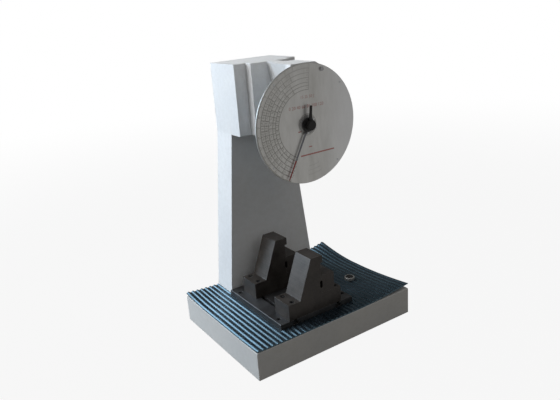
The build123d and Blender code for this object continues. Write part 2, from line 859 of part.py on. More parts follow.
def make_driver():
    """Driver: the short bar that turns with the shaft and carries the pointer along."""
    middle_y = (driver_rear_y + driver_front_y) / 2
    with BuildPart() as driver:
        with BuildSketch(on_axis(driver_rear_y)):
            Circle(driver_hub_radius)
        extrude(amount=driver_hub_width)
        with BuildSketch(on_axis(middle_y + driver_bar_thickness / 2, driver_angle)):
            with BuildLine():
                Polyline(
                    (-driver_root_half, 0),
                    (driver_root_half, 0),
                    (driver_tip_half, driver_length),
                    (-driver_tip_half, driver_length),
                    close=True,
                )
            make_face()
        extrude(amount=driver_bar_thickness)
        with BuildSketch(on_axis(driver_rear_y)):
            Circle(spindle_radius + fit_clearance)
        extrude(amount=driver_hub_width, mode=Mode.SUBTRACT)
        screw_plane = driver_screw_plane(spindle_radius + running_clearance)
        with BuildSketch(screw_plane):
            Circle(m3 + hole_clearance)
        extrude(amount=driver_hub_radius, mode=Mode.SUBTRACT)
    finish(driver, "pointer_driver")
    with BuildPart() as screw:
        with BuildSketch(driver_screw_plane(spindle_radius + running_clearance)):
            Circle(m3)
        extrude(amount=driver_hub_radius - spindle_radius)
        with BuildSketch(driver_screw_plane(driver_hub_radius + running_clearance)):
            Circle(m3 * set_head_ratio)
        extrude(amount=driver_screw_head_length)
    finish(screw, "driver_screw")
    with BuildPart() as cap:
        with BuildSketch(on_axis(driver_front_y)):
            Circle(front_cap_radius)
        extrude(amount=front_cap_length)
        chamfer(cap.faces().sort_by(Axis.Y)[0].edges(), front_cap_chamfer)
        with BuildSketch(on_axis(driver_front_y)):
            Circle(shaft_tip_radius + running_clearance)
        extrude(amount=front_cap_length - front_cap_wall, mode=Mode.SUBTRACT)
    finish(cap, "front_cap")


def driver_screw_plane(radius):
    """Plane across the driver's set screw, at a radius from the shaft's axis."""
    x, rise = dial_point(1.0, driver_angle + driver_screw_turn)
    middle_y = (driver_rear_y + driver_front_y) / 2
    return Plane(origin=(x * radius, middle_y, axis_z + rise * radius), z_dir=(x, 0, rise))


def make_release():
    """Release plunger: a sprung pin in the arm's front plate that holds the raised pendulum."""
    x, rise = dial_point(plunger_orbit, plunger_angle)
    centre_z = axis_z + rise

    def across(y):
        return Plane(origin=(x, y, centre_z), x_dir=(1, 0, 0), z_dir=(0, -1, 0))

    collar_rear_y = arm_plate_rear_y - plunger_bush_length
    knob_rear_y = dial_front_y - knob_dial_gap
    tip_y = swing_plane_y - socket_radius
    with BuildPart() as plunger:
        with BuildSketch(across(tip_y)):
            Circle(plunger_radius)
        extrude(amount=tip_y - knob_rear_y + release_knob_bore - running_clearance)
        chamfer(plunger.faces().sort_by(Axis.Y)[-1].edges(), edge_chamfer)
        with BuildSketch(across(collar_rear_y)):
            Circle(plunger_collar_radius)
        extrude(amount=plunger_collar_length)
    finish(plunger, "release_plunger")
    with BuildPart() as knob:
        with BuildSketch(across(knob_rear_y)):
            Circle(release_knob_radius)
        extrude(amount=release_knob_length)
        chamfer(knob.faces().sort_by(Axis.Y)[0].edges(), edge_chamfer)
        with BuildSketch(across(knob_rear_y)):
            Circle(plunger_radius + fit_clearance)
        extrude(amount=release_knob_bore, mode=Mode.SUBTRACT)
    finish(knob, "release_knob")
    with BuildPart() as bush:
        with BuildSketch(across(arm_plate_rear_y)):
            Circle(spring_chamber_radius - fit_clearance)
            Circle(plunger_radius + running_clearance, mode=Mode.SUBTRACT)
        extrude(amount=plunger_bush_length)
    finish(bush, "plunger_bush")
    spring_rear_y = collar_rear_y - plunger_collar_length
    chamber_floor_y = arm_front_y + chamber_floor
    with BuildPart() as spring:
        with BuildSketch(across(spring_rear_y - spring_end_gap)):
            Circle(spring_outer_radius)
            Circle(spring_inner_radius, mode=Mode.SUBTRACT)
        extrude(amount=spring_rear_y - chamber_floor_y - 2 * spring_end_gap)
    finish(spring, "release_spring")


def make_anvil_plate():
    """Ground plate on the base with two T-slots along the depth."""
    middle_x = plate_left_x + plate_length / 2
    middle_y = (plate_front_y + plate_rear_y) / 2
    with BuildPart() as plate:
        with BuildSketch(Plane.XY.offset(base_height)):
            with Locations((middle_x, middle_y)):
                Rectangle(plate_length, plate_depth)
        extrude(amount=plate_thickness)
        chamfer(plate.faces().sort_by(Axis.Z)[-1].edges(), edge_chamfer)
        with BuildSketch(facing(plate_rear_y)):
            for x in (left_bolt_x, right_bolt_x):
                with Locations((x, plate_top_z - slot_neck_depth / 2)):
                    Rectangle(slot_neck_width, slot_neck_depth)
                with Locations((x, plate_top_z - slot_neck_depth - slot_height / 2)):
                    Rectangle(slot_width, slot_height)
        extrude(amount=plate_depth, mode=Mode.SUBTRACT)
        with Locations(Plane.XY.offset(plate_top_z)):
            with Locations(*plate_screw_places):
                CounterBoreHole(m8 + hole_clearance, m8 * counterbore_ratio, counterbore_depth(m8))
    finish(plate, "anvil_plate")
    screw_seat_z = plate_top_z - counterbore_depth(m8)
    with BuildPart() as screws:
        for x, y in plate_screw_places:
            add(socket_screw(Plane((x, y, screw_seat_z)), m8, screw_seat_z - base_height + base_top_wall))
    finish(screws, "anvil_plate_screws")


def anvil_section():
    """Anvil block seen from the front: foot, sloped back, top, lip, specimen face, right foot."""
    top_z = plate_top_z + anvil_top_height
    lip_x = seat_face_x + anvil_lip
    with BuildLine() as line:
        Polyline(
            (anvil_left_x, plate_top_z),
            (anvil_right_x, plate_top_z),
            (anvil_right_x, foot_top_z),
            (seat_face_x, foot_top_z),
            (seat_face_x, top_z - anvil_lip_height),
            (lip_x, top_z - anvil_lip_height),
            (lip_x, top_z),
            (anvil_slope_top_x, top_z),
            (anvil_slope_foot_x, foot_top_z),
            (anvil_left_x, foot_top_z),
            close=True,
        )
    return line.line


def make_anvil(name, front_y):
    """One anvil: block, specimen rest, rest screws, clamp screws and T-nuts."""
    rear_y = front_y + anvil_depth
    middle_y = front_y + anvil_depth / 2
    relief_z = seat_z - relief_drop
    bolt_ys = (middle_y - bolt_spacing / 2, middle_y + bolt_spacing / 2)
    bolt_places = [(x, y) for x in (left_bolt_x, right_bolt_x) for y in bolt_ys]
    head_seat_z = foot_top_z - counterbore_depth(m8)
    rest_right_x = seat_face_x + rest_length
    rest_screw_z = foot_top_z + rest_screw_rise
    rest_seat_x = rest_right_x - counterbore_depth(m6)
    with BuildPart() as block:
        with BuildSketch(facing(rear_y)):
            make_face(anvil_section())
            with Locations((seat_face_x, relief_z)):
                SlotOverall(relief_height, relief_width, rotation=90, mode=Mode.SUBTRACT)
        extrude(amount=anvil_depth)
        chamfer(block.edges().filter_by(Axis.Y).sort_by(Axis.Z)[-2:], edge_chamfer)
        with Locations(Plane.XY.offset(foot_top_z)):
            with Locations(*bolt_places):
                CounterBoreHole(
                    m8 + hole_clearance,
                    m8 * counterbore_ratio,
                    counterbore_depth(m8),
                    anvil_foot_height,
                )
        with BuildSketch(Plane.YZ.offset(seat_face_x)):
            with Locations(*[(y, rest_screw_z) for y in bolt_ys]):
                Circle(m6 + hole_clearance)
        extrude(amount=-hole_depth(m6), mode=Mode.SUBTRACT)
    finish(block, f"{name}_anvil_block")
    with BuildPart() as rest:
        with BuildSketch(facing(rear_y)):
            with Locations((seat_face_x, foot_top_z)):
                Rectangle(rest_length, seat_z - foot_top_z, align=(Align.MIN, Align.MIN))
            with Locations((seat_face_x, relief_z)):
                SlotOverall(relief_height, relief_width, rotation=90, mode=Mode.SUBTRACT)
        extrude(amount=anvil_depth)
        chamfer(rest.edges().filter_by(Axis.Y).group_by(Axis.Z)[-1].sort_by(Axis.X)[-1], edge_chamfer)
        with Locations(Plane.YZ.offset(rest_right_x)):
            with Locations(*[(y, rest_screw_z) for y in bolt_ys]):
                CounterBoreHole(
                    m6 + hole_clearance,
                    m6 * counterbore_ratio,
                    counterbore_depth(m6),
                    rest_length,
                )
    finish(rest, f"{name}_specimen_rest")
    with BuildPart() as rest_screws:
        for y in bolt_ys:
            seat = Plane(origin=(rest_seat_x, y, rest_screw_z), x_dir=(0, 1, 0), z_dir=(1, 0, 0))
            add(socket_screw(seat, m6, rest_seat_x - seat_face_x + thread_depth(m6)))
    finish(rest_screws, f"{name}_rest_screws")
    nut_top_z = plate_top_z - slot_neck_depth
    nut_bottom_z = nut_top_z - nut_height
    with BuildPart() as clamp_screws:
        for x, y in bolt_places:
            add(socket_screw(Plane((x, y, head_seat_z)), m8, head_seat_z - nut_bottom_z))
    finish(clamp_screws, f"{name}_clamp_screws")
    with BuildPart() as nuts:
        with BuildSketch(Plane.XY.offset(nut_bottom_z)):
            with Locations(*bolt_places):
                Rectangle(slot_width - 2 * side_clearance, slot_width - 2 * side_clearance)
                Circle(m8 + hole_clearance, mode=Mode.SUBTRACT)
        extrude(amount=nut_top_z - nut_bottom_z)
    finish(nuts, f"{name}_t_nuts")


def make_mat():
    """Rubber mat on the base, cut out round the column and the anvil plate."""
    cut_outs = (
        (column_foot_width / 2, -column_foot_width / 2, column_front_y, base_depth / 2),
        (plate_left_x + plate_length, plate_left_x, plate_front_y, column_front_y),
    )
    with BuildPart() as mat:
        with BuildSketch(Plane.XY.offset(base_height)):
            Rectangle(base_length, base_depth)
            for right_x, left_x, front_y, rear_y in cut_outs:
                with Locations((left_x - mat_gap, front_y - mat_gap)):
                    Rectangle(
                        right_x - left_x + 2 * mat_gap,
                        rear_y - front_y + mat_gap,
                        align=(Align.MIN, Align.MIN),
                        mode=Mode.SUBTRACT,
                    )
        extrude(amount=mat_thickness)
    finish(mat, "rubber_mat")


def make_level():
    """Round bubble level on the mat."""
    mat_top_z = base_height + mat_thickness
    rim_z = mat_top_z + level_height
    centre = (level_x, level_y)
    floor_z = rim_z - level_rim_depth
    glass_bottom_z = rim_z - level_glass_thickness
    with BuildPart() as body:
        with BuildSketch(Plane.XY.offset(mat_top_z)):
            with Locations(centre):
                Circle(level_radius)
        extrude(amount=level_height)
        chamfer(body.faces().sort_by(Axis.Z)[-1].edges(), level_chamfer)
        with BuildSketch(Plane.XY.offset(rim_z)):
            with Locations(centre):
                Circle(level_window_radius)
        extrude(amount=-level_rim_depth, mode=Mode.SUBTRACT)
    finish(body, "level_body")
    with BuildPart() as liquid:
        with BuildSketch(Plane.XY.offset(floor_z)):
            with Locations(centre):
                Circle(level_window_radius - running_clearance)
        extrude(amount=glass_bottom_z - floor_z)
    finish(liquid, "level_liquid")
    with BuildPart() as glass:
        with BuildSketch(Plane.XY.offset(glass_bottom_z)):
            with Locations(centre):
                Circle(level_window_radius - running_clearance)
        extrude(amount=level_glass_thickness + level_glass_rise)
        chamfer(glass.faces().sort_by(Axis.Z)[-1].edges(), glass_chamfer)
    finish(glass, "level_glass")


make_base()
make_housing()
make_rear_cover()
make_cover_screws()
make_column_bolts()
make_dial_arm()
make_arm_screws()
make_bearings()
make_bearing_cap("front_bearing_cap", arm_plate_rear_y, -1)
make_bearing_cap("head_bearing_cap", rib_front_y, 1)
make_cap_screws()
make_shaft()
make_carrier()
make_dial()
make_pointer_bush()
make_pointer()
make_driver()
make_release()
make_anvil_plate()
make_anvil("front", plate_front_y)
make_anvil("rear", swing_plane_y + anvil_span / 2)
make_mat()
make_level()
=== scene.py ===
"""Pendulum impact tester: materials, dial print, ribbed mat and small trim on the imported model."""
import json
from math import acos, cos, degrees, hypot, pi, radians, sin

import bpy
from mathutils import Matrix, Vector


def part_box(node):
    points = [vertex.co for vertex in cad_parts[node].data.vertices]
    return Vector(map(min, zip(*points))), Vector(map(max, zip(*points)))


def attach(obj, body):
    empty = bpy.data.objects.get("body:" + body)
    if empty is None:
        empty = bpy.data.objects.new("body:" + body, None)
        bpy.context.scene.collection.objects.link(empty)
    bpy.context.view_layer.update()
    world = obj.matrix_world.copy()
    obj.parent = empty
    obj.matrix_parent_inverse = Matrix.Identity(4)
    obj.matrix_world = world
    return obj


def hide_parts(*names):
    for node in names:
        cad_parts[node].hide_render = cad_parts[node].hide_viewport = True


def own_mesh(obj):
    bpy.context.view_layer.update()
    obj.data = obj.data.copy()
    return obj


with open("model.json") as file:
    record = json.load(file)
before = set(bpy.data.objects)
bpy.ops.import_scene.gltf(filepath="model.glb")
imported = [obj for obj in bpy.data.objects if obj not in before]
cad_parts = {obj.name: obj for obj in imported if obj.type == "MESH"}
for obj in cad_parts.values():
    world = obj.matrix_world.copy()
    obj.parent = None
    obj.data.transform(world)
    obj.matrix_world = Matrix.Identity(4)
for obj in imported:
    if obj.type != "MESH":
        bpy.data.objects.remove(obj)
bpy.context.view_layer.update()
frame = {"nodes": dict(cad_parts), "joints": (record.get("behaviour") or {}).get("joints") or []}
nodes = frame["nodes"]
joints = {joint["name"]: joint for joint in frame["joints"]}
scene = bpy.context.scene
scene.view_settings.view_transform = "Standard"


def corners(name):
    """Lowest and highest corner of a CAD node, freed of the mesh's rounding."""
    low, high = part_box(name)
    return [round(v, 6) for v in low], [round(v, 6) for v in high]


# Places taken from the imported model, in metres
AXIS_Z = joints["shaft_swing"]["pos_m"][2]
DIAL_Y = corners("dial_face")[0][1]
BASE_HALF_X, BASE_HALF_Y, BASE_TOP = corners("base")[1]
MAT_THICKNESS = round(corners("rubber_mat")[1][2] - BASE_TOP, 6)
LEVEL_LOW, LEVEL_HIGH = corners("level_body")
PLATE_LOW, PLATE_HIGH = corners("anvil_plate")

# The head overhangs the column, so the column's front comes from its depth
COLUMN_LOW, COLUMN_HIGH = corners("column_housing")
COLUMN_DEPTH = 0.077
COLUMN_FRONT_Y = COLUMN_HIGH[1] - COLUMN_DEPTH

# Camera, fitted to the photograph: width and focal length in its pixels, place in metres, turns in degrees
PHOTO_WIDTH = 560.0
FOCAL_PIXELS = 582.31
SENSOR_WIDTH = 36.0
CAMERA_PLACE = (-0.8224, -1.2375, 0.8524)
CAMERA_AZIMUTH = -32.66
CAMERA_ELEVATION = 18.55
CAMERA_ROLL = -4.391
VIEW_DEPTH = 200.0


def make_camera():
    """Camera that shows the object as the photograph does."""
    azimuth, elevation, roll = radians(CAMERA_AZIMUTH), radians(CAMERA_ELEVATION), radians(CAMERA_ROLL)
    forward = Vector((-sin(azimuth) * cos(elevation), cos(azimuth) * cos(elevation), -sin(elevation)))
    right = forward.cross(Vector((0, 0, 1))).normalized()
    up = right.cross(forward)
    x = right * cos(roll) + up * sin(roll)
    y = up * cos(roll) - right * sin(roll)
    data = bpy.data.cameras.new("camera")
    data.sensor_fit = "HORIZONTAL"
    data.sensor_width = SENSOR_WIDTH
    data.lens = SENSOR_WIDTH * FOCAL_PIXELS / PHOTO_WIDTH
    data.clip_end = VIEW_DEPTH
    camera = bpy.data.objects.new("camera", data)
    turn = Matrix((x, y, -forward)).transposed().to_4x4()
    camera.matrix_world = Matrix.Translation(CAMERA_PLACE) @ turn
    scene.collection.objects.link(camera)
    scene.camera = camera


def add_node(tree, kind, inputs=None, **settings):
    """New shader node with its settings and the values of its sockets."""
    node = tree.nodes.new(kind)
    for key, value in settings.items():
        setattr(node, key, value)
    for key, value in (inputs or {}).items():
        node.inputs[key].default_value = value
    return node


# Materials
BEVEL_SAMPLES = 6
MIX_FACTOR, MIX_A, MIX_B, MIX_RESULT = 0, 6, 7, 2


class Look:
    """A Principled material with its textures in the object's own coordinates."""

    def __init__(self, name, color, roughness, metallic=0.0, **sockets):
        self.mat = bpy.data.materials.new(name)
        self.mat.use_nodes = True
        self.tree = self.mat.node_tree
        self.shader = self.tree.nodes["Principled BSDF"]
        self.shader.inputs["Base Color"].default_value = (*color, 1.0)
        self.shader.inputs["Roughness"].default_value = roughness
        self.shader.inputs["Metallic"].default_value = metallic
        for key, value in sockets.items():
            self.shader.inputs[key.replace("_", " ")].default_value = value
        self.place = self.new("ShaderNodeTexCoord").outputs["Object"]
        self.normal = None

    def new(self, kind, inputs=None, **settings):
        """New node of this material."""
        return add_node(self.tree, kind, inputs, **settings)

    def feed(self, value, socket):
        """A number or a colour is set on the socket, an output is linked to it."""
        if isinstance(value, (int, float)):
            socket.default_value = value
        elif isinstance(value, tuple):
            socket.default_value = (*value, 1.0)
        else:
            self.tree.links.new(value, socket)

    def noise(self, scale, detail=3.0, rough=0.5, stretch=None):
        """Noise over the piece, finer along the directions in which it is stretched more."""
        place = self.place
        if stretch:
            mapping = self.new("ShaderNodeMapping", {"Scale": stretch})
            self.feed(place, mapping.inputs["Vector"])
            place = mapping.outputs["Vector"]
        node = self.new("ShaderNodeTexNoise", {"Scale": scale, "Detail": detail, "Roughness": rough})
        self.feed(place, node.inputs["Vector"])
        return node.outputs["Fac"]

    def axis(self, name):
        """One coordinate of the place on the piece, in metres."""
        split = self.new("ShaderNodeSeparateXYZ")
        self.feed(self.place, split.inputs[0])
        return split.outputs[name]

    def ramp(self, value, stops):
        """Colours that follow a value, given as (position, colour) stops."""
        node = self.new("ShaderNodeValToRGB")
        for element, (position, color) in zip(node.color_ramp.elements, stops):
            element.position = position
            element.color = (*color, 1.0)
        self.feed(value, node.inputs["Fac"])
        return node.outputs["Color"]

    def spread(self, value, low, high, start=0.3, end=0.7):
        """The value's stretch from start to end, mapped to low and high and held there beyond it."""
        ends = {"From Min": start, "From Max": end, "To Min": low, "To Max": high}
        node = self.new("ShaderNodeMapRange", ends)
        self.feed(value, node.inputs["Value"])
        return node.outputs["Result"]

    def math(self, operation, a, b):
        """A sum, a difference or a product of two values."""
        node = self.new("ShaderNodeMath", operation=operation)
        self.feed(a, node.inputs[0])
        self.feed(b, node.inputs[1])
        return node.outputs[0]

    def mix(self, factor, a, b, blend="MIX"):
        """Two colours, mixed by a factor."""
        node = self.new("ShaderNodeMix", data_type="RGBA", blend_type=blend)
        self.feed(factor, node.inputs[MIX_FACTOR])
        self.feed(a, node.inputs[MIX_A])
        self.feed(b, node.inputs[MIX_B])
        return node.outputs[MIX_RESULT]

    def color(self, output):
        """The piece's colour."""
        self.feed(output, self.shader.inputs["Base Color"])

    def roughness(self, output):
        """The piece's roughness."""
        self.feed(output, self.shader.inputs["Roughness"])

    def bevel(self, radius):
        """Normal of the surface with its edges rounded."""
        return self.new("ShaderNodeBevel", {"Radius": radius}, samples=BEVEL_SAMPLES).outputs["Normal"]

    def use_normal(self, output):
        """The shader, and the next bump, take this normal."""
        self.normal = output
        self.feed(output, self.shader.inputs["Normal"])

    def round_edges(self, radius):
        """Edges that catch the light as rounded ones do."""
        self.use_normal(self.bevel(radius))

    def edge_mask(self, radius):
        """0 on flats, 1 along sharp edges."""
        flat_limit, edge_limit = 0.02, 0.25
        dot = self.new("ShaderNodeVectorMath", operation="DOT_PRODUCT")
        self.feed(self.bevel(radius), dot.inputs[0])
        self.feed(self.new("ShaderNodeNewGeometry").outputs["Normal"], dot.inputs[1])
        away = self.math("SUBTRACT", 1.0, dot.outputs["Value"])
        return self.spread(away, 0.0, 1.0, flat_limit, edge_limit)

    def bump(self, height, strength, distance):
        """Relief on top of what the normal already has."""
        node = self.new("ShaderNodeBump", {"Strength": strength, "Distance": distance})
        self.feed(height, node.inputs["Height"])
        if self.normal is not None:
            self.feed(self.normal, node.inputs["Normal"])
        self.use_normal(node.outputs["Normal"])


def scaled(color, factor):
    """A colour made lighter or darker."""
    return tuple(min(1.0, part * factor) for part in color)


def paint_look(name, painted_shade=(1.0, 1.0, 1.0)):
    """Off-white enamel over a filled casting: slight orange peel, dust, thin wear on the edges, and painted
    shade where a darker multiplier is given.
    """
    look = Look(name, (0.8, 0.81, 0.82), 0.55, Specular_IOR_Level=0.08)
    look.round_edges(0.0012)
    broad = look.noise(5.0, detail=2.0)
    fine = look.noise(85.0, detail=6.0, rough=0.65)
    tint = look.ramp(broad, [(0.3, (0.76, 0.775, 0.79)), (0.7, (0.83, 0.835, 0.835))])
    dust = look.ramp(fine, [(0.36, (0.86, 0.85, 0.83)), (0.6, (1.0, 1.0, 1.0))])
    body = look.mix(0.35, tint, dust, "MULTIPLY")
    # Painted shade: the enamel is multiplied by a darker colour where one is given.
    body = look.mix(1.0, body, painted_shade, "MULTIPLY")
    patchy = look.spread(look.noise(60.0, detail=4.0), 0.0, 0.8, start=0.48, end=0.62)
    worn = look.math("MULTIPLY", look.edge_mask(0.0011), patchy)
    look.color(look.mix(worn, body, (0.42, 0.41, 0.39)))
    look.roughness(look.spread(fine, 0.50, 0.62))
    look.bump(look.noise(1100.0, detail=2.0), strength=0.09, distance=0.0003)
    look.bump(look.noise(26.0, detail=2.0), strength=0.10, distance=0.0015)
    return look.mat


def ground_steel(name, dark, light, rough, lines, metallic=0.75, specular=0.5):
    """Steel with grinding lines along one direction, blotches, and brighter edges."""
    look = Look(name, dark, rough, metallic, Specular_IOR_Level=specular)
    look.round_edges(0.0006)
    streak = look.noise(1.0, detail=3.0, rough=0.6, stretch=lines)
    blotch = look.noise(38.0, detail=4.0, rough=0.6)
    body = look.mix(look.spread(blotch, 0.0, 1.0, start=0.35, end=0.65), dark, light)
    body = look.mix(look.spread(streak, 0.0, 0.4, start=0.35, end=0.65), body, scaled(light, 1.5))
    patchy = look.spread(look.noise(120.0, detail=3.0), 0.1, 0.9, start=0.4, end=0.6)
    worn = look.math("MULTIPLY", look.edge_mask(0.0007), patchy)
    look.color(look.mix(worn, body, (0.30, 0.29, 0.28)))
    look.roughness(look.spread(blotch, rough - 0.06, rough + 0.08))
    look.bump(streak, strength=0.12, distance=0.0002)
    return look.mat


def turned_steel(name, color, rough, metallic=1.0):
    """Bright metal, turned round the shaft's direction."""
    look = Look(name, color, rough, metallic)
    look.round_edges(0.0003)
    rings = look.noise(1.0, detail=2.0, rough=0.5, stretch=(60.0, 2600.0, 60.0))
    body = look.ramp(rings, [(0.35, scaled(color, 0.86)), (0.65, color)])
    smudge = look.noise(70.0, detail=3.0)
    look.color(look.mix(look.spread(smudge, 0.0, 0.25, start=0.45, end=0.7), body, scaled(color, 0.6)))
    look.roughness(look.spread(smudge, rough - 0.04, rough + 0.08))
    look.bump(rings, strength=0.06, distance=0.0001)
    return look.mat


# Dial: the bare sheet's colour, and the heights over its middle between which print fades to the bare sheet
BARE_SHEET = (0.60, 0.59, 0.57)
PRINT_FADE_FROM = 0.045
PRINT_FADE_TO = 0.135


def dial_look():
    """Satin aluminium sheet with fine straight graining and a cloudy patina, which mirrors the needle; its
    right side is painted lighter, as painted light.
    """
    look = Look("dial_sheet", BARE_SHEET, 0.37, 0.8)
    grain = look.noise(1.0, detail=3.0, rough=0.6, stretch=(26.0, 26.0, 1900.0))
    cloud = look.noise(1.0, detail=5.0, rough=0.65, stretch=(34.0, 34.0, 9.0))
    body = look.ramp(cloud, [(0.3, (0.54, 0.535, 0.505)), (0.7, (0.74, 0.735, 0.715))])
    # Painted light: the sheet turns paler and cooler towards its right side, where the dial is lit more.
    painted_light_right = look.spread(look.axis("X"), 0.0, 0.6, start=0.03, end=0.12)
    body = look.mix(painted_light_right, body, (0.85, 0.86, 0.88))
    body = look.mix(look.spread(grain, 0.0, 0.3), body, (0.68, 0.67, 0.65))
    look.color(body)
    look.roughness(look.spread(cloud, 0.35, 0.42))
    look.bump(grain, strength=0.05, distance=0.0001)
    return look.mat


def print_look(name, color, fade):
    """Etched print on the sheet, thin in places and fading to the bare sheet's colour towards the dial's
    top.
    """
    look = Look(name, color, 0.42, 0.8)
    # Towards the dial's top the print turns to the bare sheet's colour.
    edge_rub_and_print_fade = look.spread(look.axis("Z"), 0.0, 0.75, start=AXIS_Z + PRINT_FADE_FROM, end=AXIS_Z + PRINT_FADE_TO)
    body = look.ramp(look.noise(260.0, detail=3.0), [(0.35, color), (0.7, fade)])
    look.color(look.mix(edge_rub_and_print_fade, body, BARE_SHEET))
    look.bump(look.noise(3000.0, detail=2.0), strength=0.05, distance=0.0001)
    return look.mat


def enamel_look():
    """Black enamel with dust and rubbed edges."""
    look = Look("enamel_black", (0.010, 0.010, 0.010), 0.42, Specular_IOR_Level=0.35)
    look.round_edges(0.0004)
    dust = look.noise(240.0, detail=5.0, rough=0.6)
    body = look.ramp(dust, [(0.35, (0.007, 0.007, 0.007)), (0.75, (0.020, 0.019, 0.018))])
    edge_rub_and_print_fade = look.math("MULTIPLY", look.edge_mask(0.0004), 0.4)
    look.color(look.mix(edge_rub_and_print_fade, body, (0.16, 0.155, 0.15)))
    look.roughness(look.spread(dust, 0.3, 0.5))
    look.bump(look.noise(1500.0, detail=2.0), strength=0.06, distance=0.0001)
    return look.mat


# Pointer: how far from its axis the black ends and the red begins
NEEDLE_Y = -0.1088
BLACK_END = (0.0200, 0.0240)
RED_START = (0.0925, 0.0932)
PAINT_WOBBLE = 0.0006


def needle_look():
    """Pointer: black enamel at the hub, then blue-grey steel, and signal red over the outer third."""
    look = Look("needle_enamel", (0.016, 0.016, 0.017), 0.36)
    look.round_edges(0.0003)
    away = look.new("ShaderNodeVectorMath", {1: (0.0, NEEDLE_Y, AXIS_Z)}, operation="DISTANCE")
    look.feed(look.place, away.inputs[0])
    dust = look.noise(240.0, detail=5.0, rough=0.6)
    black = look.ramp(dust, [(0.35, (0.012, 0.012, 0.013)), (0.75, (0.035, 0.034, 0.033))])
    red = look.ramp(dust, [(0.35, (0.30, 0.022, 0.018)), (0.75, (0.38, 0.05, 0.04))])
    steel = look.ramp(dust, [(0.35, (0.22, 0.23, 0.26)), (0.75, (0.30, 0.31, 0.34))])
    reach = look.math("ADD", away.outputs["Value"], look.spread(dust, -PAINT_WOBBLE, PAINT_WOBBLE))
    inner = look.mix(look.spread(reach, 0.0, 1.0, *BLACK_END), black, steel)
    look.color(look.mix(look.spread(reach, 0.0, 1.0, *RED_START), inner, red))
    look.roughness(look.spread(dust, 0.3, 0.45))
    return look.mat


def rubber_look():
    """Dark blue-black rubber with a waxy bloom along the ribs; the blue of its sheen is painted light, the
    window light's colour put into the rubber's reflections.
    """
    look = Look(
        "ribbed_rubber", (0.010, 0.013, 0.018), 0.28,
        # Blue tint on the reflections: painted colour of the bluish window light.
        IOR=1.6, Specular_IOR_Level=1.0, Specular_Tint=(0.48, 0.81, 1.0, 1.0),
    )
    scuff = look.noise(30.0, detail=2.0, rough=0.5)
    along = look.noise(1.0, detail=2.0, rough=0.5, stretch=(160.0, 9.0, 160.0))
    body = look.ramp(scuff, [(0.35, (0.007, 0.010, 0.014)), (0.7, (0.016, 0.022, 0.030))])
    look.color(look.mix(look.spread(along, 0.0, 0.2, start=0.5, end=0.7), body, (0.024, 0.033, 0.046)))
    look.roughness(look.spread(scuff, 0.26, 0.31))
    look.bump(along, strength=0.01, distance=0.0002)
    return look.mat


def brass_look():
    """Plain brass, darker in patches."""
    look = Look("plain_brass", (0.62, 0.47, 0.22), 0.32, 1.0)
    patchy = look.noise(160.0, detail=4.0)
    look.color(look.ramp(patchy, [(0.35, (0.50, 0.36, 0.16)), (0.7, (0.66, 0.50, 0.25))]))
    look.roughness(look.spread(look.noise(90.0), 0.26, 0.42))
    return look.mat


def liquid_look():
    """The level's yellow-green spirit."""
    look = Look("level_spirit", (0.55, 0.72, 0.30), 0.08, IOR=1.36, Transmission_Weight=0.55)
    look.color(look.ramp(look.noise(45.0), [(0.3, (0.50, 0.68, 0.26)), (0.7, (0.60, 0.76, 0.34))]))
    return look.mat


def glass_look():
    """Clear glass, slightly smeared."""
    look = Look("level_glass", (1.0, 1.0, 1.0), 0.04, IOR=1.5, Transmission_Weight=1.0)
    look.roughness(look.spread(look.noise(300.0, detail=4.0), 0.02, 0.08))
    return look.mat


def wear(look, *names):
    """The named CAD nodes take this material."""
    for name in names:
        mesh = nodes[name].data
        mesh.materials.clear()
        mesh.materials.append(look)


# Meshes
def new_mesh(name, vertices, faces, look, smooth=False):
    """Piece of the scene that stays with the frame."""
    mesh = bpy.data.meshes.new(name)
    mesh.from_pydata(vertices, [], faces)
    mesh.update()
    if smooth:
        mesh.polygons.foreach_set("use_smooth", [True] * len(mesh.polygons))
    mesh.materials.append(look)
    piece = bpy.data.objects.new(name, mesh)
    scene.collection.objects.link(piece)
    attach(piece, "frame")
    return piece


def circle(x, y, radius, count, z):
    """Corners of a level circle round (x, y)."""
    turns = [2 * pi * i / count for i in range(count)]
    return [(x + radius * cos(turn), y + radius * sin(turn), z) for turn in turns]


def band(start, count):
    """Faces between a circle of corners, the first of which is number start, and the next circle."""
    faces = []
    for i in range(count):
        a, b = start + i, start + (i + 1) % count
        faces.append((a, b, b + count, a + count))
    return faces


# Dial print: radii, widths and heights in metres, angles in degrees clockwise from up
SCALE_FOOT = -156.0
SCALE_TOP = 6.0
FULL_SWING = round(joints["shaft_swing"]["range_deg"][1])
LINE_LIFT = 0.00004
INK_LIFT = 0.00005
DIGIT_SIZE_TO_HEIGHT = 1.35

BORDERS = (0.1447, 0.1339, 0.1230, 0.1120, 0.1010, 0.0930, 0.0840)
BORDER_WIDTH = 0.0017

# Outer scale in degrees: ticks as (every, length, width)
DEGREE_TICKS = ((10, 0.0044, 0.0010), (5, 0.0034, 0.0006), (1, 0.0024, 0.0006))
DEGREE_NUMBER_EVERY = 10
DEGREE_NUMBER_RADIUS = 0.1412
DEGREE_NUMBER_HEIGHT = 0.0040

# Inner scales in joules: (full energy, cells)
ENERGY_SCALES = ((50.0, 20), (25.0, 20), (15.0, 15), (7.5, 15), (4.0, 16))
CELL_LINE_WIDTH = 0.0016
HALF_TICK_SHARE = 0.3
HALF_TICK_WIDTH = 0.0008
CELL_NUMBER_SHARE = 0.42
CELL_NUMBER_BACK = 2.6

HUB_RING_RADIUS = 0.0262
HUB_RING_WIDTH = 0.0012
HUB_RING_STEP = 6.0

